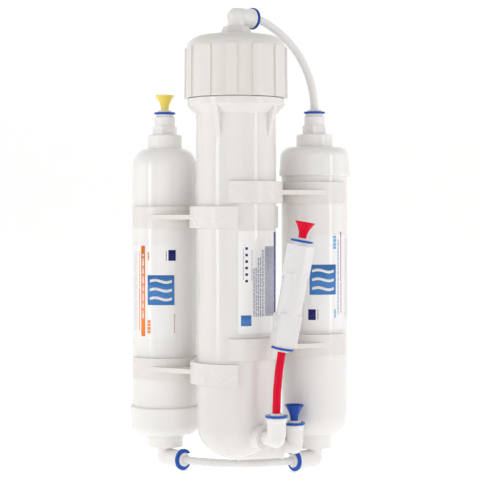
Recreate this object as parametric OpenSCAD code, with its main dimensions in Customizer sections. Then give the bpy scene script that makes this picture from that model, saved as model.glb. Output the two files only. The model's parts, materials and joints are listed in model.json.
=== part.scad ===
// Three-stage reverse osmosis unit for pond and aquarium water.
// A membrane housing stands between two inline cartridges, held together by
// double snap clips and joined by push-fit fittings and quarter-inch tube.
// Millimetres. +X is the unit's right, -Y its front, +Z up. The origin is at
// the bottom centre of the whole unit.

/* [Layout] */
// Sideways distance from the housing axis to each cartridge axis
cartridge_x = 61; // [60:0.5:66]
// Distance of the cartridge axes behind the housing axis
cartridge_y = 43.5; // [42:0.5:48]
// Height of the lowest elbows' socket axes
low_axis_z = 8.6; // [8.6:0.1:12]

/* [Inline cartridges] */
// Length of a cartridge over both necks
cartridge_l = 254; // [250:1:262]
// Outside diameter of the cartridge shell
cartridge_d = 53.3; // [52:0.1:54]
// Outside diameter of the end cap at its mouth
end_cap_d = 57.4; // [57:0.1:59]
// Height of the end cap without its neck
end_cap_h = 23; // [20:0.5:28]
// Diameter of the neck on the end cap
end_cap_neck_d = 29.4; // [27:0.1:32]
// Diameter of the neck on the domed end
dome_neck_d = 27.8; // [24:0.1:30]
// Height of both necks
neck_h = 10.8; // [9:0.1:12]
// Height of the shell's dome
dome_h = 17.5; // [14:0.5:20]
// Wall thickness of shell and end cap
cartridge_wall = 2.6; // [2:0.1:3.2]

/* [Membrane housing] */
// Outside diameter of the housing body at its foot
housing_d = 61.6; // [61:0.1:62.4]
// Extra radius that the body gains by its top, as moulding draft
housing_draft = 0.6; // [0:0.1:0.8]
// Height of the lowest point of the housing's dome
housing_bottom_z = 15.4; // [15:0.1:18]
// Height of the rounded foot above that point
housing_dome_h = 25.6; // [22:0.1:28]
// Height of the parting line between housing and cap
parting_z = 298; // [292:1:304]
// Outside diameter of the flange under the cap
flange_d = 76.2; // [75:0.1:77]
// Bore of the housing
housing_bore_d = 51.2; // [50.6:0.1:52]

/* [Housing cap] */
// Outside diameter over the grip flutes
cap_d = 81.2; // [80:0.1:83]
// Height of the cap's straight skirt
cap_skirt_h = 38; // [36:0.5:42]
// Number of grip flutes round the cap
flute_count = 12; // [8:1:16]
// Width of one grip flute
flute_w = 8.4; // [6:0.1:10]

/* [Fittings and tube] */
// Outside diameter of the tube
tube_d = 6.35; // [6.3:0.01:6.4]
// Bore of the tube
tube_bore_d = 4.3; // [4:0.1:4.6]
// Outside diameter of a push-fit socket at its mouth
socket_d = 15.7; // [15.2:0.1:16.2]
// Length of an elbow's socket from the knuckle's centre
socket_l = 17; // [16.6:0.1:19]
// Length of the two lowest elbows' sockets
low_socket_l = 20; // [18:0.1:21]
// Bearing of the top elbow's socket, turned back from the unit's right
top_turn = 47; // [40:1:52]
// Outside diameter of a blue locking clip
lock_d = 17.2; // [16.6:0.1:17.2]
// Depth to which tube and plugs are pushed in
insertion = 15.6; // [15:0.1:15.6]
// Diameter of a blanking plug's flare
plug_flare_d = 15.8; // [13:0.1:16]

/* [Restrictor] */
// Length of the restrictor's body
restrictor_l = 81.4; // [72:0.1:84]
// Side of its square end blocks
block_side = 17.3; // [16.5:0.1:18]
// Diameter of its round middle
restrictor_mid_d = 19; // [18:0.1:20]
// Lean of the restrictor from the vertical
restrictor_lean = 10.2; // [6:0.1:12]

/* [Cartridge clips] */
// Height of a snap clip
clip_h = 16.8; // [14:0.1:18]
// Thickness of the clip at its open ends
clip_tip_t = 2.2; // [1.8:0.1:2.6]
// Thickness of the clip at its root
clip_root_t = 5.8; // [5:0.1:6.2]
// Height of the four clips' lower edges: right and left upper, right and left lower
clip_heights = [216, 196.6, 94.8, 75]; // [60:1:240]

/* [Hidden] */

$fn = 72;
body_white = [0.93, 0.92, 0.9];
cap_white = [0.89, 0.88, 0.85];
fitting_white = [0.95, 0.95, 0.94];
lock_blue = [0.12, 0.32, 0.7];

// Cartridge positions
bearing = atan2(cartridge_y, cartridge_x);
cartridge_reach = norm([cartridge_x, cartridge_y]);
leg_l = 9;
cartridge_z = low_axis_z + leg_l;
cartridge_top_z = cartridge_z + cartridge_l;
cartridge_r = cartridge_d / 2;
end_cap_r = end_cap_d / 2;
lap_l = end_cap_h - 5;

// Housing and cap
housing_r = housing_d / 2;
shoulder_z = parting_z - 13;
flange_z = parting_z - 6;
thread_r = flange_d / 2 - 2.9;
mouth_z = parting_z + 28;
core_r = 8.5;
core_socket_r = 8.7;
chamber_z = 32;
boss_r = 9.5;
waste_z = 35.4;
waste_bearing = -47.7;
waste_boss_l = 37;
waste_reach = 48.8;
permeate_z = 24;
permeate_bearing = 9.6;
permeate_boss_l = 37;
permeate_reach = 46;
port_thread_r = 4.9;
neck_thread_r = 6.5;
fit_gap = 0.05;
water_r = 2.2;
cap_bore_r = thread_r + 1.4;
cap_base_r = cap_d / 2 - 1.2;
cap_top_z = parting_z + cap_skirt_h + 13.6;
boss_top_z = cap_top_z + 4.9;
gusset_w = 4.4;
gusset_angles = [-112.5, -31.5, 67.5, 148.5];
membrane_z = 47.5;
membrane_l = 254;
membrane_r = 22.9;

// Push-fit fittings
tube_r = tube_d / 2;
collet_r = 5.2;
collet_neck_r = 4.3;
collet_flange_r = 5.5;
lock_t = 1.5;
lip_h = 3.2;
hex_h = 6.8;
straight_l = 16.9;
top_axis_z = boss_top_z + 7.5;
feed_mouth_z = cartridge_top_z + straight_l;
bottom_turn = 40;

// Blanking plugs
plug_top = 15.2;
plug_shoulder = 4.2;

// Tube bends
held_l = insertion + lip_h + 0.1;
clear_l = lip_h + 0.1;
top_bends = [20, 45, 25];
top_r1 = 30;
top_r3 = 80;
top_start = (socket_l + clear_l) * [cos(top_turn), sin(top_turn)];
top_chord = [cartridge_x, cartridge_y] - top_start;
top_swing = top_turn - atan2(top_chord[1], top_chord[0]);
top_plan_r = norm(top_chord) / (2 * sin(top_swing));
top_span = top_plan_r * top_swing * PI / 90;
top_r2 = (top_span - top_r1 * sin(20) - top_r3 * (1 - sin(65))) / (sin(65) - sin(20));
top_drop = top_r1 * (1 - cos(20)) + top_r2 * (cos(20) - cos(65)) + top_r3 * cos(65);
top_tail_l = top_axis_z - top_drop - feed_mouth_z + insertion;
bottom_r = (cartridge_x - (low_socket_l + clear_l) * cos(bottom_turn)) / sin(bottom_turn);
waste_r = 265;
bend_step = 5;
tube_sides = 20;

// Ports: mouth centre, turn of the outward axis, and the side the lock leaves by
waste_x = waste_reach * cos(waste_bearing);
waste_y = waste_reach * sin(waste_bearing);
waste_mouth_z = waste_z + socket_l;
lean = restrictor_lean;
rise = waste_mouth_z + clear_l + waste_r * sin(lean) + clear_l * cos(lean);
aside = waste_x + waste_r * (1 - cos(lean)) + clear_l * sin(lean);
permeate_x = permeate_reach * cos(permeate_bearing);
permeate_y = permeate_reach * sin(permeate_bearing);
feed_port = [[-cartridge_x, cartridge_y, feed_mouth_z], [0, 0, 0], -90];
right_top_port = [[cartridge_x, cartridge_y, feed_mouth_z], [0, 0, 0], -90];
top_port = [[socket_l * cos(top_turn), socket_l * sin(top_turn), top_axis_z],
            [0, 90, top_turn], -90];
left_bottom_port = [[-cartridge_x + low_socket_l * cos(bottom_turn),
                     cartridge_y - low_socket_l * sin(bottom_turn), low_axis_z],
                    [0, 90, -bottom_turn], -90];
right_bottom_port = [[cartridge_x - low_socket_l * cos(bottom_turn),
                      cartridge_y - low_socket_l * sin(bottom_turn), low_axis_z],
                     [0, 90, 180 + bottom_turn], 90];
waste_port = [[waste_x, waste_y, waste_mouth_z], [0, 0, 0], -90];
permeate_port = [[permeate_x, permeate_y, permeate_z + socket_l], [0, 0, 0], -26];
inlet_port = [[aside, waste_y, rise], [0, 180 + lean, 0], -90];
outlet_port = [[aside + restrictor_l * sin(lean), waste_y, rise + restrictor_l * cos(lean)],
               [0, lean, 0], -90];

// Shift that puts the origin at the bottom centre of the unit
front_y = waste_y - lock_d / 2;
back_y = cartridge_y + end_cap_r;
shift_y = -(front_y + back_y) / 2;

// Points along a quarter or part of an ellipse
function ellipse_points(centre, radii, from, to, steps) =
    [for (i = [0:steps])
        let (a = from + (to - from) * i / steps)
        centre + [radii[0] * cos(a), radii[1] * sin(a)]];

// Moves the whole unit so that its bottom centre is the origin
module placed() {
    translate([0, shift_y, 0])
        children();
}

// Puts children at a port, with local +Z pointing out of its mouth
module at_port(port) {
    placed()
        translate(port[0])
            rotate(port[1])
                children();
}

// Revolves [radius, height] points about Z
module turned(points) {
    rotate_extrude()
        polygon(points);
}

// O-ring whose section has radius r, centred at ring radius
module o_ring(ring, r) {
    rotate_extrude()
        translate([ring, 0])
            circle(r, $fn = 24);
}

// ---- Membrane housing ----

module gusset() {
    rotate([90, 0, 0])
        translate([0, 0, -gusset_w / 2])
            linear_extrude(gusset_w)
                polygon([
                    [housing_r - 1.5, flange_z + 0.5],
                    [flange_d / 2 - 0.1, flange_z + 0.5],
                    [housing_r + 0.6, flange_z - 25],
                    [housing_r - 1.5, flange_z - 25]
                ]);
}

// Port boss that runs out along +X from the housing axis
module port_boss(reach) {
    rotate([0, 90, 0])
        union() {
            cylinder(h = reach, r1 = boss_r + 1.2, r2 = boss_r);
            translate([0, 0, reach - 1.6])
                cylinder(h = 1.6, r = boss_r + 0.5);
        }
}

module port_bore(reach, from) {
    rotate([0, 90, 0])
        union() {
            translate([0, 0, reach - 6.5])
                cylinder(h = 7, r = port_thread_r + fit_gap, $fn = 48);
            translate([0, 0, from])
                cylinder(h = reach - from, r = water_r, $fn = 32);
        }
}

module membrane_housing() {
    foot = ellipse_points([0, housing_bottom_z + housing_dome_h],
                          [housing_r, housing_dome_h], -90, 0, 18);
    groove_z = parting_z + 20;
    bore_r = housing_bore_d / 2;
    color(body_white)
        placed()
            difference() {
                union() {
                    turned(concat(foot, [
                        [housing_r + housing_draft, shoulder_z],
                        [flange_d / 2 - 0.4, flange_z - 0.6],
                        [flange_d / 2, flange_z + 0.4],
                        [flange_d / 2, parting_z - 1],
                        [flange_d / 2 - 0.6, parting_z - 0.4],
                        [thread_r, parting_z - 0.4],
                        [thread_r, groove_z],
                        [thread_r - 1.8, groove_z],
                        [thread_r - 1.8, groove_z + 3.3],
                        [thread_r, groove_z + 3.3],
                        [thread_r, mouth_z - 1],
                        [thread_r - 1, mouth_z],
                        [0, mouth_z]
                    ]));
                    for (a = gusset_angles)
                        rotate(a)
                            gusset();
                    translate([0, 0, waste_z])
                        rotate(waste_bearing)
                            port_boss(waste_boss_l);
                    translate([0, 0, permeate_z])
                        rotate(permeate_bearing)
                            port_boss(permeate_boss_l);
                }
                turned([
                    [0, 20],
                    [core_socket_r, 20],
                    [core_socket_r, 46],
                    [12, 46],
                    [12, chamber_z],
                    [bore_r - 4.6, chamber_z],
                    [bore_r, chamber_z + 10],
                    [bore_r, mouth_z + 1],
                    [0, mouth_z + 1]
                ]);
                translate([0, 0, waste_z])
                    rotate(waste_bearing)
                        port_bore(waste_boss_l, 17);
                translate([0, 0, permeate_z])
                    rotate(permeate_bearing)
                        port_bore(permeate_boss_l, 5);
            }
}

// One grip flute, lying along +Z and standing out along +X
module flute_bar() {
    corner = 2;
    length = cap_skirt_h + 1.5;
    rotate([90, 0, 90])
        linear_extrude(cap_d / 2)
            union() {
                translate([-flute_w / 2, 0])
                    square([flute_w, length - corner]);
                translate([-flute_w / 2 + corner, 0])
                    square([flute_w - 2 * corner, length]);
                for (side = [-1, 1])
                    translate([side * (flute_w / 2 - corner), length - corner])
                        circle(corner, $fn = 24);
            }
}

module housing_cap() {
    skirt_top = parting_z + cap_skirt_h;
    crown = ellipse_points([27, skirt_top], [cap_base_r - 27.5, 10.6], 0, 90, 10);
    color(cap_white)
        placed()
            difference() {
                union() {
                    turned(concat(
                        [[0, parting_z], [cap_base_r - 0.4, parting_z], [cap_base_r, parting_z + 0.5]],
                        crown,
                        [[12.5, cap_top_z - 0.4], [0, cap_top_z]]
                    ));
                    intersection() {
                        translate([0, 0, parting_z])
                            cylinder(h = cap_skirt_h + 2, r1 = cap_d / 2, r2 = cap_d / 2 - 0.4);
                        union() {
                            for (i = [0:flute_count - 1])
                                rotate(-91.5 + i * 360 / flute_count)
                                    translate([0, 0, parting_z])
                                        flute_bar();
                        }
                    }
                    translate([0, 0, cap_top_z - 0.9])
                        cylinder(h = boss_top_z - cap_top_z + 0.9, r1 = 12.4, r2 = 9.9, $fn = 6);
                }
                turned([
                    [0, parting_z - 1],
                    [cap_bore_r, parting_z - 1],
                    [cap_bore_r, skirt_top - 3],
                    [25, skirt_top + 6],
                    [0, skirt_top + 8.4]
                ]);
                translate([0, 0, skirt_top])
                    cylinder(h = 30, r = neck_thread_r + fit_gap);
            }
}

module cap_o_ring() {
    color("dimgray")
        placed()
            translate([0, 0, parting_z + 21.65])
                o_ring(thread_r - 0.2, 1.5);
}

// ---- Membrane element ----

module membrane_element() {
    color([0.86, 0.87, 0.84])
        placed()
            difference() {
                union() {
                    translate([0, 0, membrane_z])
                        cylinder(h = membrane_l, r = membrane_r - 0.5);
                    for (z = [membrane_z, membrane_z + membrane_l - 12])
                        translate([0, 0, z])
                            cylinder(h = 12, r = membrane_r);
                }
                translate([0, 0, membrane_z - 1])
                    cylinder(h = membrane_l + 2, r = core_r + fit_gap);
                translate([0, 0, membrane_z + membrane_l - 8])
                    rotate_extrude()
                        translate([membrane_r - 0.9, 0])
                            square([3, 3.2]);
            }
}

module permeate_core_tube() {
    color([0.94, 0.94, 0.9])
        placed()
            turned([
                [6, 21],
                [core_r, 21],
                [core_r, 26],
                [core_r - 1.4, 26],
                [core_r - 1.4, 28],
                [core_r, 28],
                [core_r, 33],
                [core_r - 1.4, 33],
                [core_r - 1.4, 35],
                [core_r, 35],
                [core_r, 319],
                [core_r - 1, 320],
                [0, 320],
                [0, 317],
                [6, 317]
            ]);
}

// Lip seal round the top of the element, open side up
module brine_seal() {
    bore_r = housing_bore_d / 2;
    z = membrane_z + membrane_l - 8;
    color("dimgray")
        placed()
            turned([
                [membrane_r - 0.85, z + 0.1],
                [membrane_r + 0.8, z + 0.1],
                [bore_r - 0.15, z + 5.5],
                [bore_r - 0.7, z + 5.7],
                [membrane_r + 0.5, z + 3.1],
                [membrane_r - 0.85, z + 3.1]
            ]);
}

module core_o_rings() {
    color("dimgray")
        placed()
            for (z = [27, 34])
                translate([0, 0, z])
                    o_ring(core_r - 0.68, 0.7);
}

// ---- Inline cartridges, modelled with the end cap down and the foot at z = 0 ----

module shell_form() {
    base = neck_h + end_cap_h - lap_l;
    dome_z = cartridge_l - neck_h - dome_h;
    neck_r = dome_neck_d / 2;
    inner_r = cartridge_r - cartridge_wall;
    difference() {
        turned(concat(
            [[0, base], [cartridge_r, base]],
            ellipse_points([neck_r, dome_z], [cartridge_r - neck_r, dome_h], 0, 90, 16),
            [[neck_r, cartridge_l - 0.6], [neck_r - 0.6, cartridge_l], [0, cartridge_l]]
        ));
        turned(concat(
            [[0, base - 1], [inner_r, base - 1]],
            ellipse_points([neck_r - 3, dome_z], [inner_r - neck_r + 3, dome_h - 3], 0, 90, 12),
            [[0, dome_z + dome_h - 3]]
        ));
        translate([0, 0, cartridge_l - 12])
            cylinder(h = 13, r = neck_thread_r + fit_gap, $fn = 48);
        translate([0, 0, cartridge_l - 20])
            cylinder(h = 20, r = water_r, $fn = 32);
    }
}

module end_cap_form() {
    neck_r = end_cap_neck_d / 2;
    foot_r = end_cap_r - 1.1;
    base = neck_h + end_cap_h - lap_l;
    difference() {
        turned(concat(
            [[0, 0], [neck_r - 0.6, 0], [neck_r, 0.6], [neck_r, neck_h - 1]],
            ellipse_points([foot_r - 8.5, neck_h + 7.5], [8.5, 8.3], -78, 0, 9),
            [[end_cap_r, neck_h + end_cap_h - 1], [end_cap_r - 0.7, neck_h + end_cap_h],
             [0, neck_h + end_cap_h]]
        ));
        translate([0, 0, base - 0.1])
            cylinder(h = lap_l + 1, r = cartridge_r + fit_gap);
        translate([0, 0, -1])
            cylinder(h = 13, r = neck_thread_r + fit_gap, $fn = 48);
        cylinder(h = base + 1, r = water_r, $fn = 32);
    }
}

// Stands children on the left cartridge's axis with the end cap down
module left_stage() {
    placed()
        translate([-cartridge_x, cartridge_y, cartridge_z])
            children();
}

// Hangs children on the right cartridge's axis with the end cap up
module right_stage() {
    placed()
        translate([cartridge_x, cartridge_y, cartridge_top_z])
            rotate([180, 0, 0])
                children();
}

module left_cartridge_shell() {
    color(body_white)
        left_stage()
            shell_form();
}

module left_cartridge_end_cap() {
    color(body_white)
        left_stage()
            end_cap_form();
}

module left_sediment_core() {
    color([0.96, 0.95, 0.9])
        left_stage()
            translate([0, 0, neck_h + 6])
                difference() {
                    cylinder(h = 208, r = 22.5);
                    translate([0, 0, -1])
                        cylinder(h = 210, r = 7);
                }
}

module right_cartridge_shell() {
    color(body_white)
        right_stage()
            shell_form();
}

module right_cartridge_end_cap() {
    color(body_white)
        right_stage()
            end_cap_form();
}

module right_carbon_bed() {
    color([0.12, 0.12, 0.12])
        right_stage()
            translate([0, 0, neck_h + 12])
                cylinder(h = 196, r = cartridge_r - cartridge_wall - 0.3);
}

module right_felt_pads() {
    color([0.9, 0.9, 0.86])
        right_stage()
            for (z = [neck_h + 6.2, neck_h + 208.3])
                translate([0, 0, z])
                    cylinder(h = 5.5, r = cartridge_r - cartridge_wall - 0.3);
}

// ---- Double snap clips ----

// Tapered ring that grips a round body of radius r and opens along -X
module snap_ring(r, half_opening) {
    offset_x = (clip_root_t - clip_tip_t) / (1 + cos(half_opening));
    outer_r = r + clip_root_t - offset_x;
    wedge = 2 * outer_r;
    difference() {
        translate([offset_x, 0, 0])
            cylinder(h = clip_h, r = outer_r, $fn = 96);
        translate([0, 0, -1])
            cylinder(h = clip_h + 2, r = r, $fn = 96);
        translate([0, 0, -1])
            linear_extrude(clip_h + 2)
                polygon([[0, 0],
                         [-wedge * cos(half_opening), wedge * sin(half_opening)],
                         [-2 * wedge, wedge * sin(half_opening)],
                         [-2 * wedge, -wedge * sin(half_opening)],
                         [-wedge * cos(half_opening), -wedge * sin(half_opening)]]);
    }
}

// Housing ring, cartridge ring, flat web and centre block, turned towards a cartridge
module double_clip(z, angle) {
    grip_r = housing_r + housing_draft * z / shoulder_z + 0.15;
    hold_r = cartridge_r + 0.15;
    web_t = 3.7;
    color(body_white)
        placed()
            rotate(angle)
                translate([0, 0, z])
                    difference() {
                        union() {
                            snap_ring(grip_r, 48);
                            translate([cartridge_reach, 0, 0])
                                rotate(180)
                                    snap_ring(hold_r, 66);
                            translate([0, 0, (clip_h - web_t) / 2])
                                linear_extrude(web_t)
                                    polygon([[27, -24.2], [70, -29.9], [70, 29.9], [27, 24.2]]);
                            translate([30, -2.2, 0])
                                cube([cartridge_reach - 50, 4.4, clip_h]);
                        }
                        translate([0, 0, -1])
                            cylinder(h = clip_h + 2, r = grip_r, $fn = 96);
                        translate([cartridge_reach, 0, -1])
                            cylinder(h = clip_h + 2, r = hold_r, $fn = 96);
                    }
}

module right_upper_clip() {
    double_clip(clip_heights[0], bearing);
}

module left_upper_clip() {
    double_clip(clip_heights[1], 180 - bearing);
}

module right_lower_clip() {
    double_clip(clip_heights[2], bearing);
}

module left_lower_clip() {
    double_clip(clip_heights[3], 180 - bearing);
}

// ---- Push-fit fittings ----

// Cavity of a push-fit socket, cut down from a mouth at z = 0
module socket_cavity(depth) {
    union() {
        translate([0, 0, -7.5])
            cylinder(h = 8, r = collet_r + 0.15, $fn = 48);
        translate([0, 0, -9.8])
            cylinder(h = 4, r = 5, $fn = 48);
        translate([0, 0, -insertion - 0.2])
            cylinder(h = 10, r = tube_r + 0.08, $fn = 48);
        translate([0, 0, -depth])
            cylinder(h = depth - 5, r = water_r, $fn = 32);
    }
}

// Socket's outside, grown down from a mouth at z = 0
module socket_barrel(length) {
    r = socket_d / 2;
    turned([
        [0, -length],
        [r - 0.7, -length],
        [r - 0.5, -4],
        [r, -2.6],
        [r, -0.5],
        [r - 0.5, 0],
        [0, 0]
    ]);
}

// Straight threaded fitting with a hexagon, standing on a cartridge's neck
module straight_fitting(x) {
    hex_r = 10.4;
    barrel_l = straight_l - hex_h;
    barrel_r = socket_d / 2 + 0.4;
    color(fitting_white)
        placed()
            translate([x, cartridge_y, feed_mouth_z])
                difference() {
                    union() {
                        turned([
                            [0, -barrel_l],
                            [barrel_r - 0.1, -barrel_l],
                            [barrel_r, -2.6],
                            [barrel_r - 0.9, -1.6],
                            [barrel_r - 0.9, -0.3],
                            [barrel_r - 1.2, 0],
                            [0, 0]
                        ]);
                        translate([0, 0, -straight_l])
                            rotate(25)
                                cylinder(h = hex_h + 0.2, r = hex_r, $fn = 6);
                        translate([0, 0, -straight_l - 11.5])
                            cylinder(h = 12, r = neck_thread_r, $fn = 48);
                    }
                    socket_cavity(straight_l + 12);
                }
}

// Elbow with its knuckle at the origin, leg along -Z and socket of length reach along +X
module elbow(leg, leg_r, shank, shank_r, reach = socket_l) {
    color(fitting_white)
        difference() {
            union() {
                sphere(r = leg_r + 0.5);
                translate([0, 0, -leg])
                    cylinder(h = leg, r = leg_r);
                translate([0, 0, -leg - shank])
                    cylinder(h = shank + 0.5, r = shank_r, $fn = 48);
                rotate([0, 90, 0])
                    translate([0, 0, reach])
                        socket_barrel(reach - 2);
            }
            translate([0, 0, -leg - shank - 1])
                cylinder(h = leg + shank + 1, r = water_r, $fn = 32);
            rotate([0, 90, 0])
                translate([0, 0, reach])
                    socket_cavity(reach);
        }
}

module feed_fitting() {
    straight_fitting(-cartridge_x);
}

module right_top_fitting() {
    straight_fitting(cartridge_x);
}

module top_elbow() {
    placed()
        translate([0, 0, top_axis_z])
            rotate(top_turn)
                elbow(top_axis_z - boss_top_z - 0.3, 6.6, 11, neck_thread_r);
}

// Elbow that hangs under a cartridge, its socket turned in towards the other one
module bottom_elbow(x, angle) {
    placed()
        translate([x, cartridge_y, low_axis_z])
            rotate([180, 0, angle])
                elbow(leg_l - 0.1, 6.1, 11.5, neck_thread_r - 0.6, low_socket_l);
}

module left_bottom_elbow() {
    bottom_elbow(-cartridge_x, -bottom_turn);
}

module right_bottom_elbow() {
    bottom_elbow(cartridge_x, 180 + bottom_turn);
}

// Elbow screwed into a port boss, its socket turned up
module side_elbow(z, angle, reach, boss_l) {
    placed()
        translate([0, 0, z])
            rotate(angle)
                translate([reach, 0, 0])
                    rotate([0, -90, 180])
                        elbow(reach - boss_l - 0.1, 6, 6, port_thread_r);
}

module waste_elbow() {
    side_elbow(waste_z, waste_bearing, waste_reach, waste_boss_l);
}

module permeate_elbow() {
    side_elbow(permeate_z, permeate_bearing, permeate_reach, permeate_boss_l);
}

// Collet whose flange stands out of a mouth at z = 0
module collet(port) {
    color(fitting_white)
        at_port(port)
            turned([
                [tube_r + 0.045, -7.3],
                [collet_r, -7.3],
                [collet_r, -0.1],
                [collet_neck_r, 0],
                [collet_neck_r, lip_h - 1.5],
                [collet_flange_r, lip_h - 1.5],
                [collet_flange_r, lip_h - 0.3],
                [collet_flange_r - 0.3, lip_h],
                [tube_r + 0.045, lip_h]
            ]);
}

module feed_collet() {
    collet(feed_port);
}

module right_top_collet() {
    collet(right_top_port);
}

module top_elbow_collet() {
    collet(top_port);
}

module left_bottom_collet() {
    collet(left_bottom_port);
}

module right_bottom_collet() {
    collet(right_bottom_port);
}

module waste_collet() {
    collet(waste_port);
}

module permeate_collet() {
    collet(permeate_port);
}

module restrictor_inlet_collet() {
    collet(inlet_port);
}

module restrictor_outlet_collet() {
    collet(outlet_port);
}

// O-ring that seals the tube inside a port
module port_o_ring(port) {
    color("dimgray")
        at_port(port)
            translate([0, 0, -8.65])
                o_ring(tube_r + 0.91, 0.87);
}

module fixed_port_o_rings() {
    for (port = [feed_port, right_top_port, left_bottom_port, right_bottom_port,
                 waste_port, permeate_port])
        port_o_ring(port);
}

module top_elbow_o_ring() {
    port_o_ring(top_port);
}

module restrictor_o_rings() {
    for (port = [inlet_port, outlet_port])
        port_o_ring(port);
}

// Blue horseshoe that sits under a collet's flange and leaves along its own +X
module lock(port) {
    slot_w = 2 * collet_neck_r + 0.3;
    color(lock_blue)
        at_port(port)
            rotate(port[2])
                translate([0, 0, 0.15])
                    difference() {
                        union() {
                            cylinder(h = lock_t, r = lock_d / 2);
                            for (side = [-1, 1])
                                rotate(180 - side * 42)
                                    translate([lock_d / 2 - 2.6, -1.2, 0])
                                        cube([2.4, 2.4, lock_t]);
                        }
                        translate([0, 0, -1])
                            cylinder(h = lock_t + 2, r = slot_w / 2);
                        translate([-lock_d, -slot_w / 2, -1])
                            cube([lock_d, slot_w, lock_t + 2]);
                    }
}

module feed_lock() {
    lock(feed_port);
}

module right_top_lock() {
    lock(right_top_port);
}

module top_elbow_lock() {
    lock(top_port);
}

module left_bottom_lock() {
    lock(left_bottom_port);
}

module right_bottom_lock() {
    lock(right_bottom_port);
}

module waste_lock() {
    lock(waste_port);
}

module permeate_lock() {
    lock(permeate_port);
}

module restrictor_inlet_lock() {
    lock(inlet_port);
}

module restrictor_outlet_lock() {
    lock(outlet_port);
}

// Trumpet-shaped blanking plug with a dished end
module plug(port, tint) {
    flare_r = plug_flare_d / 2;
    flare_h = plug_top - plug_shoulder;
    color(tint)
        at_port(port)
            turned(concat(
                [[0, -insertion], [tube_r - 0.5, -insertion], [tube_r, -insertion + 0.5]],
                [for (i = [0:10])
                    let (t = i / 10)
                    [tube_r + (flare_r - tube_r) * pow(t, 1.9), plug_shoulder + flare_h * t]],
                [[flare_r - 0.6, plug_top + 0.5], [flare_r - 1.4, plug_top + 0.3],
                 [2.2, plug_top - 3.4], [0, plug_top - 3.6]]
            ));
}

module feed_plug() {
    plug(feed_port, [0.93, 0.83, 0.35]);
}

module waste_plug() {
    plug(outlet_port, [0.86, 0.05, 0.2]);
}

module permeate_plug() {
    plug(permeate_port, [0.12, 0.3, 0.68]);
}

// ---- Tubes ----

// Stations [x, z, heading] along steps of [length, 0] or [bend radius, angle towards +X]
function stations(steps, i = 0, at = [0, 0, 0]) =
    i == len(steps) ? [] :
    let (size = steps[i][0], bend = steps[i][1], h = at[2])
    let (count = bend == 0 ? 1 : ceil(bend / bend_step))
    let (along = [for (k = [1:count])
        bend == 0
            ? [at[0] + size * sin(h), at[1] + size * cos(h), h]
            : let (g = h + bend * k / count)
              [at[0] + size * (cos(h) - cos(g)), at[1] + size * (sin(g) - sin(h)), g]])
    concat(along, stations(steps, i + 1, along[count - 1]));

// Ring of points round one station; plan_r above 0 also bends the run towards -Y past held_l
function ring(at, r, plan_r) =
    let (past = plan_r > 0 ? max(0, at[1] - held_l) : 0)
    let (turn = plan_r > 0 ? past / plan_r * 180 / PI : 0)
    let (y = -plan_r * (1 - cos(turn)), z = at[1] - past + plan_r * sin(turn))
    [for (k = [0:tube_sides - 1])
        let (a = 360 * k / tube_sides, u = r * cos(a), v = r * sin(a))
        [at[0] + u * cos(at[2]),
         y + u * sin(at[2]) * sin(turn) + v * cos(turn),
         z - u * sin(at[2]) * cos(turn) + v * sin(turn)]];

// Two triangles for each side between two rings of points
function skin(low, high) =
    [for (k = [0:tube_sides - 1], half = [0, 1])
        let (n = (k + 1) % tube_sides)
        half == 0 ? [low + k, high + n, low + n] : [low + k, high + k, high + n]];

// Hollow tube that starts at the origin along +Z and bends towards +X
module tube_run(steps, plan_r = 0) {
    path = concat([[0, 0, 0]], stations(steps));
    count = len(path);
    bore = count * tube_sides;
    outer_points = [for (at = path) each ring(at, tube_r, plan_r)];
    bore_points = [for (at = path) each ring(at, tube_bore_d / 2, plan_r)];
    outer_faces = [for (i = [0:count - 2]) each skin(i * tube_sides, (i + 1) * tube_sides)];
    bore_faces = [for (i = [0:count - 2])
        each skin(bore + (i + 1) * tube_sides, bore + i * tube_sides)];
    polyhedron(
        concat(outer_points, bore_points),
        concat(outer_faces, bore_faces, skin(bore, 0), skin(bore - tube_sides, 2 * bore - tube_sides))
    );
}

module top_tube() {
    color(fitting_white)
        at_port(top_port)
            translate([0, 0, -insertion])
                tube_run([
                    [held_l, 0],
                    [top_r1, top_bends[0]],
                    [top_r2, top_bends[1]],
                    [top_r3, top_bends[2]],
                    [top_tail_l, 0]
                ], top_plan_r);
}

module bottom_tube() {
    color(fitting_white)
        at_port(left_bottom_port)
            rotate(90)
                translate([0, 0, -insertion])
                    tube_run([[held_l, 0], [bottom_r, 2 * bottom_turn], [held_l, 0]]);
}

module waste_tube() {
    color([0.88, 0.03, 0.2])
        at_port(waste_port)
            translate([0, 0, -insertion])
                tube_run([[held_l, 0], [waste_r, lean], [held_l, 0]]);
}

// ---- Flow restrictor ----

// Square block with rounded edges
module block(h, side) {
    corner = 2.2;
    inner = side / 2 - corner;
    linear_extrude(h)
        union() {
            square([side, 2 * inner], center = true);
            square([2 * inner, side], center = true);
            for (x = [-inner, inner], y = [-inner, inner])
                translate([x, y])
                    circle(corner, $fn = 24);
        }
}

module restrictor_body() {
    block_h = 24;
    neck_l = 2.4;
    turn = 22;
    color(fitting_white)
        at_port(outlet_port)
            difference() {
                union() {
                    translate([0, 0, -neck_l - block_h])
                        rotate(-turn)
                            block(block_h, block_side);
                    translate([0, 0, neck_l - restrictor_l])
                        rotate(turn)
                            block(block_h, block_side);
                    translate([0, 0, neck_l + block_h - 2 - restrictor_l])
                        cylinder(h = restrictor_l - 2 * (block_h + neck_l) + 4,
                                 r = restrictor_mid_d / 2);
                    translate([0, 0, -restrictor_l])
                        cylinder(h = restrictor_l, r = socket_d / 2 - 0.2);
                }
                socket_cavity(restrictor_l / 2);
                translate([0, 0, -restrictor_l])
                    rotate([180, 0, 0])
                        socket_cavity(restrictor_l / 2 + 1);
            }
}

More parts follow.
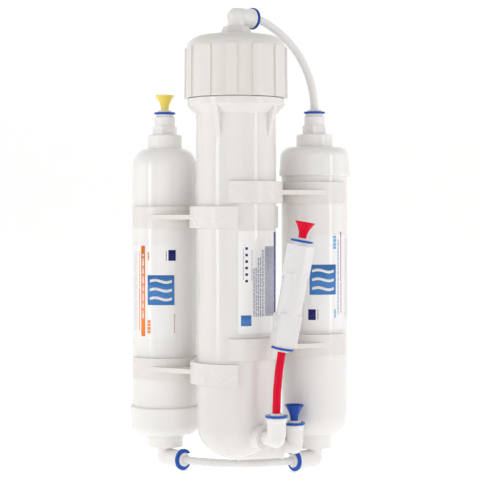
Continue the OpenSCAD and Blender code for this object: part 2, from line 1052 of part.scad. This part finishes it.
module restrictor_insert() {
    length = 30;
    color([0.85, 0.85, 0.8])
        at_port(outlet_port)
            translate([0, 0, -(restrictor_l + length) / 2])
                difference() {
                    cylinder(h = length, r = water_r - 0.05, $fn = 32);
                    translate([0, 0, -1])
                        cylinder(h = length + 2, r = 0.4, $fn = 16);
                }
}

// ---- Labels ----

// Thin wrap round a straight or tapered body, from one angle through a span
module wrap(z, h, foot_r, top_r, from, span) {
    gap = 0.05;
    t = 0.25;
    rotate([0, 0, from])
        rotate_extrude(angle = span, $fn = 120)
            polygon([
                [foot_r + gap, z],
                [foot_r + gap + t, z],
                [top_r + gap + t, z + h],
                [top_r + gap, z + h]
            ]);
}

module left_label() {
    color("white")
        placed()
            translate([-cartridge_x, cartridge_y, 0])
                wrap(107, 76, cartridge_r, cartridge_r, -205, 139);
}

module right_label() {
    color("white")
        placed()
            translate([cartridge_x, cartridge_y, 0])
                wrap(115, 76, cartridge_r, cartridge_r, -107, 139);
}

module housing_label() {
    z = 115.5;
    h = 79;
    slope = housing_draft / (shoulder_z - housing_bottom_z - housing_dome_h);
    foot_r = housing_r + slope * (z - housing_bottom_z - housing_dome_h);
    color("white")
        placed()
            wrap(z, h, foot_r, foot_r + slope * h, -84, 105);
}

membrane_housing();
housing_cap();
cap_o_ring();
membrane_element();
permeate_core_tube();
brine_seal();
core_o_rings();
left_cartridge_shell();
left_cartridge_end_cap();
left_sediment_core();
right_cartridge_shell();
right_cartridge_end_cap();
right_carbon_bed();
right_felt_pads();
right_upper_clip();
left_upper_clip();
right_lower_clip();
left_lower_clip();
feed_fitting();
right_top_fitting();
top_elbow();
left_bottom_elbow();
right_bottom_elbow();
waste_elbow();
permeate_elbow();
feed_collet();
right_top_collet();
top_elbow_collet();
left_bottom_collet();
right_bottom_collet();
waste_collet();
permeate_collet();
restrictor_inlet_collet();
restrictor_outlet_collet();
fixed_port_o_rings();
top_elbow_o_ring();
restrictor_o_rings();
feed_lock();
right_top_lock();
top_elbow_lock();
left_bottom_lock();
right_bottom_lock();
waste_lock();
permeate_lock();
restrictor_inlet_lock();
restrictor_outlet_lock();
feed_plug();
waste_plug();
permeate_plug();
top_tube();
bottom_tube();
waste_tube();
restrictor_body();
restrictor_insert();
left_label();
right_label();
housing_label();
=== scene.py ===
"""Looks of the reverse osmosis unit: camera, light, materials, labels and small moulded details."""

import json
import math

import bmesh
import bpy
from mathutils import Matrix, Vector


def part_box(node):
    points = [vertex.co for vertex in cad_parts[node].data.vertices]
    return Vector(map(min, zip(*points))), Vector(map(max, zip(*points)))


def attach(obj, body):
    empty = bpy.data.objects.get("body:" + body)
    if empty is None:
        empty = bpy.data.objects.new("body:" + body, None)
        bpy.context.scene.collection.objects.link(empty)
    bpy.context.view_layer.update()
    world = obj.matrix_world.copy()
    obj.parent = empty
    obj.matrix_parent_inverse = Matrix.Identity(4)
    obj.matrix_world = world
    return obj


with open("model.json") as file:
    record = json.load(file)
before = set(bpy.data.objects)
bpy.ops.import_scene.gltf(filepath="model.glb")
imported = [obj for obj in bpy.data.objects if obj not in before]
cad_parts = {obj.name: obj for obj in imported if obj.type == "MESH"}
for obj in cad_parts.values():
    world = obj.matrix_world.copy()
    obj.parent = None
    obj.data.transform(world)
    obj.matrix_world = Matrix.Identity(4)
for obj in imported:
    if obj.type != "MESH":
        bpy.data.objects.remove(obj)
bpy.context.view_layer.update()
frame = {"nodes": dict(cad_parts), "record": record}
MM = 0.001


def centre_of(node):
    """Middle of a node's box, in metres."""
    low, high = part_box(node)
    return (Vector(low) + Vector(high)) / 2


def size_of(node):
    """Size of a node's box, in metres."""
    low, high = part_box(node)
    return Vector(high) - Vector(low)


HOUSING = centre_of("cap_o_ring")
LEFT = centre_of("left_cartridge_shell")
RIGHT = centre_of("right_cartridge_shell")
CARTRIDGE_R = size_of("left_cartridge_shell").x / 2
HOUSING_FOOT_R = 30.8 * MM
HOUSING_FOOT_Z = 41 * MM
HOUSING_DRAFT = 0.6 / 244

# ---------------------------------------------------------------- camera

EYE_AZIMUTH = math.radians(3.4)
EYE_DISTANCE = 1.179
EYE_HEIGHT = 0.209
EYE_PITCH = math.radians(1.07)
EYE_ROLL = math.radians(-0.05)
FRAME_SHIFT = 0.003


def make_camera():
    """Camera in front of the unit, a little to its right and above its middle."""
    data = bpy.data.cameras.new("camera")
    data.lens = 112.5
    data.sensor_width = 36
    data.clip_start = 0.05
    data.clip_end = 50
    camera = bpy.data.objects.new("camera", data)
    bpy.context.collection.objects.link(camera)
    right = Vector((math.cos(EYE_AZIMUTH), math.sin(EYE_AZIMUTH), 0))
    back = Vector((math.sin(EYE_AZIMUTH), -math.cos(EYE_AZIMUTH), 0))
    base = Vector((HOUSING.x, HOUSING.y, 0)) + right * FRAME_SHIFT
    camera.location = base + back * EYE_DISTANCE + Vector((0, 0, EYE_HEIGHT))
    look = -back * math.cos(EYE_PITCH) - Vector((0, 0, math.sin(EYE_PITCH)))
    turn = look.to_track_quat("-Z", "Y")
    camera.rotation_mode = "QUATERNION"
    camera.rotation_quaternion = turn @ Matrix.Rotation(EYE_ROLL, 4, "Z").to_quaternion()
    bpy.context.scene.camera = camera


# ---------------------------------------------------------------- stage and light


def make_stage():
    """Pale floor that curves up into a backdrop."""
    half, front, turn_y, radius, top = 14.0, -14.0, 1.6, 1.2, 4.5
    outline = [(front, 0.0), (turn_y, 0.0)]
    for i in range(1, 17):
        a = math.radians(90 * i / 16)
        outline.append((turn_y + radius * math.sin(a), radius * (1 - math.cos(a))))
    outline.append((turn_y + radius, top))
    mesh = bpy.data.meshes.new("backdrop")
    points = [(x, y, z - 0.0002) for y, z in outline for x in (-half, half)]
    faces = [(2 * i, 2 * i + 1, 2 * i + 3, 2 * i + 2) for i in range(len(outline) - 1)]
    mesh.from_pydata(points, [], faces)
    for face in mesh.polygons:
        face.use_smooth = True
    stage = bpy.data.objects.new("backdrop", mesh)
    bpy.context.collection.objects.link(stage)
    material = bpy.data.materials.new("backdrop")
    material.use_nodes = True
    shader = material.node_tree.nodes["Principled BSDF"]
    shader.inputs["Base Color"].default_value = (0.93, 0.93, 0.93, 1)
    shader.inputs["Roughness"].default_value = 0.9
    shader.inputs["Specular IOR Level"].default_value = 0.1
    shader.inputs["Emission Color"].default_value = (1, 1, 1, 1)
    shader.inputs["Emission Strength"].default_value = 0.42
    mesh.materials.append(material)


def area_light(name, place, aim, size, power):
    """Soft lamp at place that faces aim and stays out of the camera's sight."""
    data = bpy.data.lights.new(name, "AREA")
    data.shape = "RECTANGLE"
    data.size, data.size_y = size
    data.energy = power
    lamp = bpy.data.objects.new(name, data)
    bpy.context.collection.objects.link(lamp)
    lamp.location = place
    lamp.visible_camera = False
    lamp.rotation_mode = "QUATERNION"
    lamp.rotation_quaternion = (Vector(aim) - Vector(place)).to_track_quat("-Z", "Y")


def beside_camera(angle, distance, height):
    """Point on a circle round the unit, angle degrees to the right of the camera."""
    bearing = EYE_AZIMUTH - math.pi / 2 + math.radians(angle)
    return (distance * math.cos(bearing), distance * math.sin(bearing), height)


def make_lights():
    """Soft studio light: two strips, two sides, one overhead and a large front fill."""
    world = bpy.data.worlds.new("studio")
    world.use_nodes = True
    sky = world.node_tree.nodes["Background"]
    sky.inputs["Color"].default_value = (1.0, 0.995, 0.985, 1)
    sky.inputs["Strength"].default_value = 0.40
    bpy.context.scene.world = world
    bpy.context.scene.view_settings.view_transform = "Standard"
    aim = (0, 0, 0.2)
    area_light("strip_left", beside_camera(-54, 1.2, 0.3), aim, (0.17, 1.1), 2.7)
    area_light("strip_right", beside_camera(58, 1.2, 0.28), aim, (0.12, 1.1), 2.2)
    area_light("side_left", beside_camera(-88, 1.5, 0.4), aim, (0.9, 1.2), 3.2)
    area_light("side_right", beside_camera(88, 1.5, 0.4), aim, (0.9, 1.2), 3.0)
    area_light("overhead", (0.0, -0.25, 1.35), aim, (1.2, 1.2), 1.6)
    area_light("front_fill", (0.0, -2.2, 0.7), aim, (1.8, 1.4), 5.6)


# ---------------------------------------------------------------- materials


class Nodes:
    """Small helper for building a material's node tree."""

    def __init__(self, name):
        self.material = bpy.data.materials.new(name)
        self.material.use_nodes = True
        self.tree = self.material.node_tree
        self.shader = self.tree.nodes["Principled BSDF"]

    def add(self, kind, **settings):
        node = self.tree.nodes.new(kind)
        for key, value in settings.items():
            setattr(node, key, value)
        return node

    def link(self, source, target):
        self.tree.links.new(source, target)

    def place(self):
        """Where a point is, in metres."""
        if not hasattr(self, "_place"):
            self._place = self.add("ShaderNodeTexCoord")
        return self._place.outputs["Object"]

    def noise(self, scale, detail=3.0, rough=0.5, stretch=None):
        """Noise fixed to the object, drawn out along each axis by 1 / stretch."""
        node = self.add("ShaderNodeTexNoise")
        node.inputs["Scale"].default_value = scale
        node.inputs["Detail"].default_value = detail
        node.inputs["Roughness"].default_value = rough
        source = self.place()
        if stretch:
            mapping = self.add("ShaderNodeMapping")
            mapping.inputs["Scale"].default_value = stretch
            self.link(source, mapping.inputs["Vector"])
            source = mapping.outputs["Vector"]
        self.link(source, node.inputs["Vector"])
        return node.outputs["Fac"]

    def spread(self, value, low, high, start=0.3, end=0.7):
        """Maps value from start..end to low..high."""
        node = self.add("ShaderNodeMapRange")
        node.inputs["From Min"].default_value = start
        node.inputs["From Max"].default_value = end
        node.inputs["To Min"].default_value = low
        node.inputs["To Max"].default_value = high
        self.link(value, node.inputs["Value"])
        return node.outputs["Result"]

    def mix(self, factor, a, b):
        """Blend from colour a to colour b."""
        node = self.add("ShaderNodeMix", data_type="RGBA")
        self.link(factor, node.inputs["Factor"])
        for value, socket in ((a, node.inputs["A"]), (b, node.inputs["B"])):
            if isinstance(value, tuple):
                socket.default_value = value
            else:
                self.link(value, socket)
        return node.outputs["Result"]

    def bump(self, value, strength, distance, under=None):
        """Surface relief, laid over another one if it is given."""
        node = self.add("ShaderNodeBump")
        node.inputs["Strength"].default_value = strength
        node.inputs["Distance"].default_value = distance
        self.link(value, node.inputs["Height"])
        if under:
            self.link(under, node.inputs["Normal"])
        return node.outputs["Normal"]


def rgba(colour, gain=1.0):
    """Colour with full alpha, made lighter or darker by gain."""
    return tuple(min(1.0, c * gain) for c in colour) + (1.0,)


def plastic(name, colour, rough, coat=0.0, peel=0.25, soft=0.0, drift=0.03, specks=0.0,
            shine=0.5):
    """Moulded plastic: slow colour drift, uneven gloss, faint orange peel and a soft body."""
    n = Nodes(name)
    shader = n.shader
    slow = n.noise(18, 4, 0.6)
    shade = n.mix(n.spread(slow, 0, 1), rgba(colour, 1 - drift), rgba(colour, 1 + drift * 0.5))
    if specks:
        dots = n.spread(n.noise(1400, 1, 0.4), 0, specks, 0.74, 0.8)
        shade = n.mix(dots, shade, rgba(colour, 0.6))
    n.link(shade, shader.inputs["Base Color"])
    n.link(n.spread(n.noise(55, 5, 0.6), rough * 0.82, rough * 1.22), shader.inputs["Roughness"])
    ripple = n.bump(n.noise(420, 2, 0.5), peel * 0.35, 0.0002)
    n.link(n.bump(n.noise(60, 2, 0.5), peel * 0.4, 0.00025, ripple), shader.inputs["Normal"])
    shader.inputs["IOR"].default_value = 1.48
    shader.inputs["Specular IOR Level"].default_value = shine
    if coat:
        shader.inputs["Coat Weight"].default_value = coat
        shader.inputs["Coat Roughness"].default_value = 0.12
    if soft:
        shader.inputs["Subsurface Weight"].default_value = soft
        shader.inputs["Subsurface Radius"].default_value = (1.0, 0.85, 0.7)
        shader.inputs["Subsurface Scale"].default_value = 0.0015
    return n.material


def drawn_tube(name, colour, rough, soft=0.25, shine=0.5):
    """Extruded polyethylene: waxy, with faint draw lines."""
    n = Nodes(name)
    slow = n.noise(30, 3, 0.5)
    n.link(n.mix(n.spread(slow, 0, 1), rgba(colour, 0.95), rgba(colour, 1.02)),
           n.shader.inputs["Base Color"])
    n.link(n.spread(n.noise(120, 4, 0.6), rough * 0.8, rough * 1.3), n.shader.inputs["Roughness"])
    n.link(n.bump(n.noise(260, 3, 0.6), 0.12, 0.0002), n.shader.inputs["Normal"])
    n.shader.inputs["Specular IOR Level"].default_value = shine
    n.shader.inputs["Subsurface Weight"].default_value = soft
    n.shader.inputs["Subsurface Radius"].default_value = (1.0, 0.8, 0.7)
    n.shader.inputs["Subsurface Scale"].default_value = 0.002
    return n.material


def rubber():
    """Black seal rubber with a faint grain."""
    n = Nodes("seal_rubber")
    n.link(n.mix(n.spread(n.noise(90, 4), 0, 1), (0.012, 0.012, 0.013, 1), (0.03, 0.03, 0.031, 1)),
           n.shader.inputs["Base Color"])
    n.link(n.spread(n.noise(300, 3), 0.45, 0.7), n.shader.inputs["Roughness"])
    n.link(n.bump(n.noise(900, 2), 0.2, 0.0001), n.shader.inputs["Normal"])
    return n.material


def fibre(name, colour, scale, depth):
    """Felt and melt-blown fibre: tangled strands and a little fuzz."""
    n = Nodes(name)
    tangle = n.noise(scale, 8, 0.75)
    strands = n.noise(scale * 0.6, 6, 0.7, (1, 1, 5))
    n.link(n.mix(n.spread(tangle, 0, 1), rgba(colour, 0.78), rgba(colour, 1.04)),
           n.shader.inputs["Base Color"])
    under = n.bump(strands, 0.6, depth)
    n.link(n.bump(tangle, 0.8, depth, under), n.shader.inputs["Normal"])
    n.shader.inputs["Roughness"].default_value = 0.9
    n.shader.inputs["Sheen Weight"].default_value = 0.3
    return n.material


def granules():
    """Crushed carbon, seen as packed grains."""
    n = Nodes("carbon")
    cells = n.add("ShaderNodeTexVoronoi")
    cells.inputs["Scale"].default_value = 700
    n.link(n.place(), cells.inputs["Vector"])
    n.link(n.mix(n.spread(cells.outputs["Distance"], 0, 1, 0.0, 0.6),
                 (0.004, 0.004, 0.004, 1), (0.05, 0.05, 0.052, 1)), n.shader.inputs["Base Color"])
    n.link(n.bump(cells.outputs["Distance"], 1.0, 0.0008), n.shader.inputs["Normal"])
    n.link(n.spread(n.noise(500), 0.4, 0.8), n.shader.inputs["Roughness"])
    return n.material


def tape_wrap():
    """Membrane element's outer tape, wound in a shallow spiral."""
    n = Nodes("membrane_wrap")
    band = n.add("ShaderNodeTexWave", wave_type="BANDS", bands_direction="Z")
    band.inputs["Scale"].default_value = 14
    band.inputs["Distortion"].default_value = 0.4
    n.link(n.place(), band.inputs["Vector"])
    edge = n.spread(band.outputs["Fac"], 0, 1, 0.9, 1.0)
    n.link(n.mix(edge, (0.72, 0.75, 0.74, 1), (0.5, 0.54, 0.54, 1)), n.shader.inputs["Base Color"])
    n.link(n.spread(n.noise(200, 4), 0.22, 0.42), n.shader.inputs["Roughness"])
    n.link(n.bump(edge, 0.4, 0.0003), n.shader.inputs["Normal"])
    return n.material


def make_materials():
    """One material for each of the record's slots."""
    red = (0.72, 0.0, 0.03)
    return {
        "housing_white": plastic("housing_white", (0.785, 0.76, 0.735), 0.15, peel=0.14, soft=0.06,
                                 specks=0.06),
        "cap_white": plastic("cap_white", (0.755, 0.725, 0.69), 0.32, soft=0.05, specks=0.06),
        "cartridge_white": plastic("cartridge_white", (0.86, 0.84, 0.82), 0.13, peel=0.12,
                                   soft=0.08),
        "clip_white": plastic("clip_white", (0.79, 0.765, 0.735), 0.26, peel=0.15, soft=0.05),
        "fitting_white": plastic("fitting_white", (0.845, 0.825, 0.81), 0.22, peel=0.15, soft=0.1),
        "lock_blue": plastic("lock_blue", (0.006, 0.085, 0.46), 0.22, peel=0.2, drift=0.1,
                             shine=0.3),
        "plug_yellow": plastic("plug_yellow", (0.88, 0.69, 0.12), 0.2, soft=0.15, drift=0.06),
        "plug_red": plastic("plug_red", red, 0.16, drift=0.08, shine=0.12),
        "plug_blue": plastic("plug_blue", (0.002, 0.055, 0.36), 0.18, drift=0.08, shine=0.3),
        "tube_white": drawn_tube("tube_white", (0.80, 0.785, 0.775), 0.2),
        "tube_red": drawn_tube("tube_red", red, 0.13, soft=0.0, shine=0.12),
        "restrictor_white": plastic("restrictor_white", (0.77, 0.745, 0.75), 0.24, peel=0.12,
                                    soft=0.12),
        "seal_rubber": rubber(),
        "membrane_wrap": tape_wrap(),
        "core_plastic": plastic("core_plastic", (0.8, 0.8, 0.75), 0.4, peel=0.4),
        "sediment_fibre": fibre("sediment_fibre", (0.88, 0.86, 0.8), 900, 0.0008),
        "carbon": granules(),
        "felt": fibre("felt", (0.82, 0.82, 0.76), 1200, 0.0005),
        "label_paper": plastic("label_paper", (0.885, 0.87, 0.86), 0.16, coat=0.3, peel=0.06,
                               drift=0.01),
    }


MATERIALS = {}


def dress_nodes():
    """Gives every CAD node the material of its slot."""
    for row in frame["record"]["subparts"]:
        node = frame["nodes"].get(row["node"])
        if node is None:
            continue
        node.data.materials.clear()
        node.data.materials.append(MATERIALS[row["material_slot"]])


# ---------------------------------------------------------------- making pieces


def new_object(name, bm, material, smooth=True):
    """Finishes a bmesh as a piece that rides on the root body."""
    mesh = bpy.data.meshes.new(name)
    bmesh.ops.recalc_face_normals(bm, faces=bm.faces[:])
    bm.to_mesh(mesh)
    bm.free()
    mesh.materials.append(material)
    for face in mesh.polygons:
        face.use_smooth = smooth
    piece = bpy.data.objects.new(name, mesh)
    bpy.context.collection.objects.link(piece)
    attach(piece, "root")
    return piece


# ---------------------------------------------------------------- moulded details


def smooth_tube(name):
    """Rounds a faceted tube in the shading only."""
    mesh = frame["nodes"][name].data
    sums = {}
    keys = [tuple(round(c, 6) for c in v.co) for v in mesh.vertices]
    for face in mesh.polygons:
        face.use_smooth = True
        for i in face.vertices:
            sums[keys[i]] = sums.get(keys[i], Vector()) + face.normal * face.area
    mesh.normals_split_custom_set_from_vertices([sums[key].normalized() for key in keys])


THREAD_PITCH = 4.0 * MM
THREAD_STEPS = 72
THREAD_FADE = 10
THREAD_ROOT_R = 35.2 * MM
THREAD_CREST_R = 36.3 * MM
THREAD_START = 4.5 * MM
THREAD_TURNS = 3
HEX_R = 10.4 * MM
HEX_MIDDLE = 3.4 * MM
MARK_R = 1.5 * MM
MARK_SIDES = 24
MARK_DISH = 0.10


def make_thread():
    """Right-handed thread crest on the housing's neck that fades out at both ends."""
    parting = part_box("housing_cap")[0][2]
    rise = THREAD_CREST_R - THREAD_ROOT_R
    foot = THREAD_ROOT_R - rise * 0.1
    count = THREAD_TURNS * THREAD_STEPS
    bm = bmesh.new()
    rings = []
    for i in range(count + 1):
        a = 2 * math.pi * i / THREAD_STEPS
        z = parting + THREAD_START + THREAD_PITCH * i / THREAD_STEPS
        fade = max(0.05, min(1.0, i / THREAD_FADE, (count - i) / THREAD_FADE))
        crest = THREAD_ROOT_R + rise * fade
        section = [(foot, -1.1), (crest, -0.45), (crest, 0.45), (foot, 1.1)]
        rings.append([bm.verts.new((HOUSING.x + r * math.cos(a), HOUSING.y + r * math.sin(a),
                                    z + h * MM)) for r, h in section])
    for low, high in zip(rings, rings[1:]):
        for k in range(4):
            bm.faces.new((low[k], low[(k + 1) % 4], high[(k + 1) % 4], high[k]))
    bm.faces.new(rings[0])
    bm.faces.new(rings[-1][::-1])
    piece = new_object("neck_thread", bm, MATERIALS["housing_white"], smooth=False)


def make_mark(name, place, normal):
    """Small round gate mark: a low ring round a shallow dish."""
    turn = Vector((0, 0, 1)).rotation_difference(normal)
    bm = bmesh.new()

    def point(r, a, h):
        return bm.verts.new(place + turn @ Vector((r * math.cos(a), r * math.sin(a), h * MM)))

    middle = point(0, 0, MARK_DISH)
    rings = []
    for share, h in ((0.72, 0.12), (0.86, 0.24), (0.98, 0.22), (1.06, -0.10)):
        rings.append([point(share * MARK_R, 2 * math.pi * i / MARK_SIDES, h)
                      for i in range(MARK_SIDES)])
    for i in range(MARK_SIDES):
        j = (i + 1) % MARK_SIDES
        bm.faces.new((middle, rings[0][i], rings[0][j]))
        for inner, outer in zip(rings, rings[1:]):
            bm.faces.new((inner[i], outer[i], outer[j], inner[j]))
    bm.faces.new(rings[-1])
    piece = new_object(name, bm, MATERIALS["fitting_white"])


def make_details():
    """Rounds the tubes and adds the neck's thread and the fittings' gate marks."""
    for name in ("top_tube", "bottom_tube", "waste_tube"):
        smooth_tube(name)
    make_thread()
    hex_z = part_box("left_cartridge_shell")[1][2] + HEX_MIDDLE
    hex_flat = HEX_R * math.cos(math.radians(30))
    for name, axis, bearing in (("feed_mark", LEFT, -65), ("right_top_mark", RIGHT, -125)):
        a = math.radians(bearing)
        facing = Vector((math.cos(a), math.sin(a), 0))
        make_mark(name, Vector((axis.x, axis.y, hex_z)) + facing * hex_flat, facing)


# ---------------------------------------------------------------- label artwork

CUT_STEP = 1.0 * MM
INK_T = 0.03 * MM
LABEL_FACE = 0.31 * MM
LAYER_STEP = 0.02 * MM
WAVE_RISE = 0.9


def rectangle(u, v, w, h):
    """Outline in millimetres: u runs round the body to the right, v is the height."""
    return [(u, v), (u + w, v), (u + w, v + h), (u, v + h)]


def wave(u, v, w, h, steps=32):
    """Band of height h that rises and falls once across its width."""
    low = [(u + w * i / steps, v + WAVE_RISE * math.sin(2 * math.pi * i / steps))
           for i in range(steps + 1)]
    return low + [(x, y + h) for x, y in reversed(low)]


def facing_camera(axis):
    """Bearing of the line on a round body that faces the camera."""
    eye = bpy.context.scene.camera.location
    return math.atan2(eye.y - axis.y, eye.x - axis.x)


class Wrap:
    """Maps flat label artwork onto a round body."""

    def __init__(self, name, axis, radius, flip=False, shift=0.0, middle=0.0):
        self.name = name
        self.axis = axis
        self.radius = radius
        self.facing = facing_camera(axis)
        self.flip = flip
        self.shift = shift
        self.middle = middle
        self.count = 0

    def turn(self, u, v):
        """A label hung upside down is turned half round about its own middle."""
        if self.flip:
            return -u + self.shift, 2 * self.middle - v
        return u, v

    def print(self, material, outlines, layer=0):
        """Raises the outlines as one thin printed piece on the label's face."""
        bm = bmesh.new()
        for outline in outlines:
            points = [self.turn(u, v) for u, v in outline]
            bm.faces.new([bm.verts.new((u * MM, v * MM, 0)) for u, v in points])
        low = min(v.co.x for v in bm.verts)
        high = max(v.co.x for v in bm.verts)
        cut = math.floor(low / CUT_STEP) * CUT_STEP + CUT_STEP
        while cut < high:
            bmesh.ops.bisect_plane(bm, geom=bm.verts[:] + bm.edges[:] + bm.faces[:],
                                   plane_co=(cut, 0, 0), plane_no=(1, 0, 0))
            cut += CUT_STEP
        bmesh.ops.triangulate(bm, faces=bm.faces[:])
        flat = bm.faces[:]
        top = bmesh.ops.extrude_face_region(bm, geom=flat)
        raised = {v for v in top["geom"] if isinstance(v, bmesh.types.BMVert)}
        for v in bm.verts:
            u, z = v.co.x, v.co.y
            lift = LABEL_FACE + LAYER_STEP * layer + (INK_T if v in raised else 0)
            r = self.radius(z) + lift
            a = self.facing + u / self.radius(z)
            v.co = Vector((self.axis.x + r * math.cos(a), self.axis.y + r * math.sin(a), z))
        self.count += 1
        piece = new_object(f"{self.name}_print_{self.count:02d}", bm, material)


def ink(name, colour, rough=0.3, grain=0.06):
    """Printed colour, also used for the painted shadow on the housing label: flat ink with a faint
    screen and uneven gloss.
    """
    n = Nodes("ink_" + name)
    screen = n.noise(2600, 1, 0.4)
    n.link(n.mix(n.spread(screen, 0, 1), rgba(colour, 1 - grain), rgba(colour, 1 + grain)),
           n.shader.inputs["Base Color"])
    n.link(n.spread(n.noise(150, 3), rough * 0.85, rough * 1.2), n.shader.inputs["Roughness"])
    n.shader.inputs["Specular IOR Level"].default_value = 0.35
    return n.material


def text_rows(u, v, height, rows, pitch, thickness, gaps):
    """Upright columns of short dashes that stand for small print."""
    bars = []
    for i in range(rows):
        start = v
        k = 0
        while start < v + height - 0.8:
            length = min(gaps[(i + k) % len(gaps)], v + height - start)
            bars.append(rectangle(u + i * pitch, start, thickness, length * 0.82))
            start += length
            k += 1
    return bars


DASHES = (2.2, 3.4, 1.6, 4.1, 2.8, 1.9, 3.0)


def cartridge_art(wrap, inks, u, v, foot, top):
    """One cartridge label: dashes for print, a plain block with waves at (u, v), and a panel."""
    tall = top - foot
    wrap.print(inks["small"], text_rows(-30.8, foot + 7.5, tall - 10.5, 3, 2.0, 0.45, DASHES))
    wrap.print(inks["heading"], text_rows(-14.8, foot + 5.2, 11.0, 1, 1, 2.9, (2.6, 3.2)))
    wrap.print(inks["heading"], text_rows(-14.6, top - 10.5, 6.6, 1, 1, 1.7, (1.6, 2.2)))
    wrap.print(inks["block"], [rectangle(u - 11, v - 12, 22, 24)], 1)
    wrap.print(inks["ground"], [wave(u - 9, v + rise, 18, 2.2) for rise in (-8, -1, 6)], 2)
    wrap.print(inks["panel"], [rectangle(2.6, top - 11, 6.0, 8.6)])
    wrap.print(inks["dark"], text_rows(0.7, top - 10.8, 8.0, 1, 1, 0.5, (2.0, 1.4)))
    wrap.print(inks["foot_line"], text_rows(7.2, foot + 5.6, 15.6, 1, 1, 0.55, (2.6, 1.8)))


def left_side_print(wrap, inks, foot, top):
    """Wide bar with pale dashes in it, beside a straight line and small dashes."""
    wrap.print(inks["bar"], [rectangle(-21.1, foot + 2.6, 4.1, top - foot - 1.6)])
    wrap.print(inks["ground"], text_rows(-19.7, foot + 17, top - foot - 22, 1, 1, 1.5,
                                         (8.0, 6.0)), 1)
    wrap.print(inks["bar"], [rectangle(-23.4, foot + 7, 0.8, 34)])
    wrap.print(inks["bar_pale"], text_rows(-23.7, foot + 42, 30, 2, 0.9, 0.55, DASHES))


def right_side_print(wrap, inks, foot, top):
    """Blue column of dashes beside a straight line and small dashes."""
    wrap.print(inks["heading"], text_rows(-17.6, foot + 8, top - foot - 14, 1, 1, 1.1,
                                          (2.6, 3.8, 1.9, 3.1)))
    wrap.print(inks["bar"], [rectangle(-20.6, foot + 2, 0.8, 40)])
    wrap.print(inks["bar_pale"], text_rows(-21.0, foot + 43, top - foot - 50, 2, 0.9, 0.5, DASHES))


def housing_art(wrap, inks):
    """Housing label: a column of squares, dashes for print, a panel of painted shadow from the
    restrictor with print over it, and a border.
    """
    wrap.print(inks["small"], text_rows(5.2, 157, 25, 1, 1, 0.5, DASHES))
    wrap.print(inks["panel"], [rectangle(7.0, v, 2.0, 2.0) for v in range(155, 181, 5)])
    wrap.print(inks["block"], [rectangle(3.6, 121.5, 8.2, 8.2)])
    wrap.print(inks["print"], text_rows(12.0, 156, 25, 1, 1, 0.5, DASHES))
    wrap.print(inks["print"], text_rows(13.4, 128.5, 38, 2, 1.9, 1.1, DASHES[2:]))
    wrap.print(inks["print"], text_rows(17.2, 128.5, 46, 2, 2.0, 1.2, DASHES[1:]))
    wrap.print(inks["print"], text_rows(21.2, 128.5, 52, 2, 1.5, 0.9, DASHES))
    # painted shadow: a purple-grey band where the restrictor's shadow falls on the housing's right
    # side; the print rows laid over it are real
    wrap.print(inks["shade"], [rectangle(24.4, 128.5, 12.0, 54)])
    wrap.print(inks["print"], text_rows(25.0, 130, 51, 7, 1.6, 0.8, DASHES), 1)
    wrap.print(inks["border"], [rectangle(37.0, 130.5, 5.2, 63)])


def make_labels():
    """Prints the left, right and housing labels; the right one hangs upside down."""
    shared = {
        "ground": ink("ground", (0.84, 0.83, 0.82), 0.2, 0.02),
        "small": ink("small", (0.45, 0.45, 0.52)),
        "panel": ink("panel", (0.002, 0.004, 0.13)),
        "dark": ink("dark", (0.03, 0.03, 0.08)),
        "block": ink("block", (0.05, 0.20, 0.52)),
    }
    foot, top, middle, block_u = 106.5, 181.0, 146.5, -3.5
    left = Wrap("left_label", LEFT, lambda z: CARTRIDGE_R)
    left_inks = dict(
        shared,
        bar=ink("orange_bar", (0.97, 0.235, 0.018)),
        bar_pale=ink("peach_print", (0.95, 0.50, 0.28)),
        heading=ink("orange_heading", (0.92, 0.30, 0.10)),
        foot_line=ink("brown_line", (0.55, 0.22, 0.07)),
    )
    cartridge_art(left, left_inks, block_u, middle, foot, top)
    left_side_print(left, left_inks, foot, top)
    turned_middle = 150.8
    right = Wrap("right_label", RIGHT, lambda z: CARTRIDGE_R, flip=True, shift=3.7,
                 middle=turned_middle)
    right_inks = dict(
        shared,
        bar=ink("crimson_bar", (0.70, 0.015, 0.10)),
        bar_pale=ink("pink_print", (0.78, 0.22, 0.30)),
        heading=ink("sky_heading", (0.22, 0.47, 0.80)),
        foot_line=ink("pale_line", (0.55, 0.66, 0.80)),
    )
    cartridge_art(right, right_inks, block_u, middle, foot, top)
    right_side_print(right, right_inks, foot, top)
    body = Wrap("housing_label", HOUSING,
                lambda z: HOUSING_FOOT_R + HOUSING_DRAFT * (z - HOUSING_FOOT_Z))
    housing_art(body, dict(
        shared,
        print=ink("housing_print", (0.36, 0.38, 0.48)),
        # painted shadow of the restrictor, not a printed colour of the label
        shade=ink("housing_painted_shadow", (0.55, 0.56, 0.64)),
        border=ink("housing_border", (0.035, 0.075, 0.28)),
    ))


# ---------------------------------------------------------------- building the scene


make_camera()
make_stage()
make_lights()
MATERIALS.update(make_materials())
dress_nodes()
make_details()
make_labels()
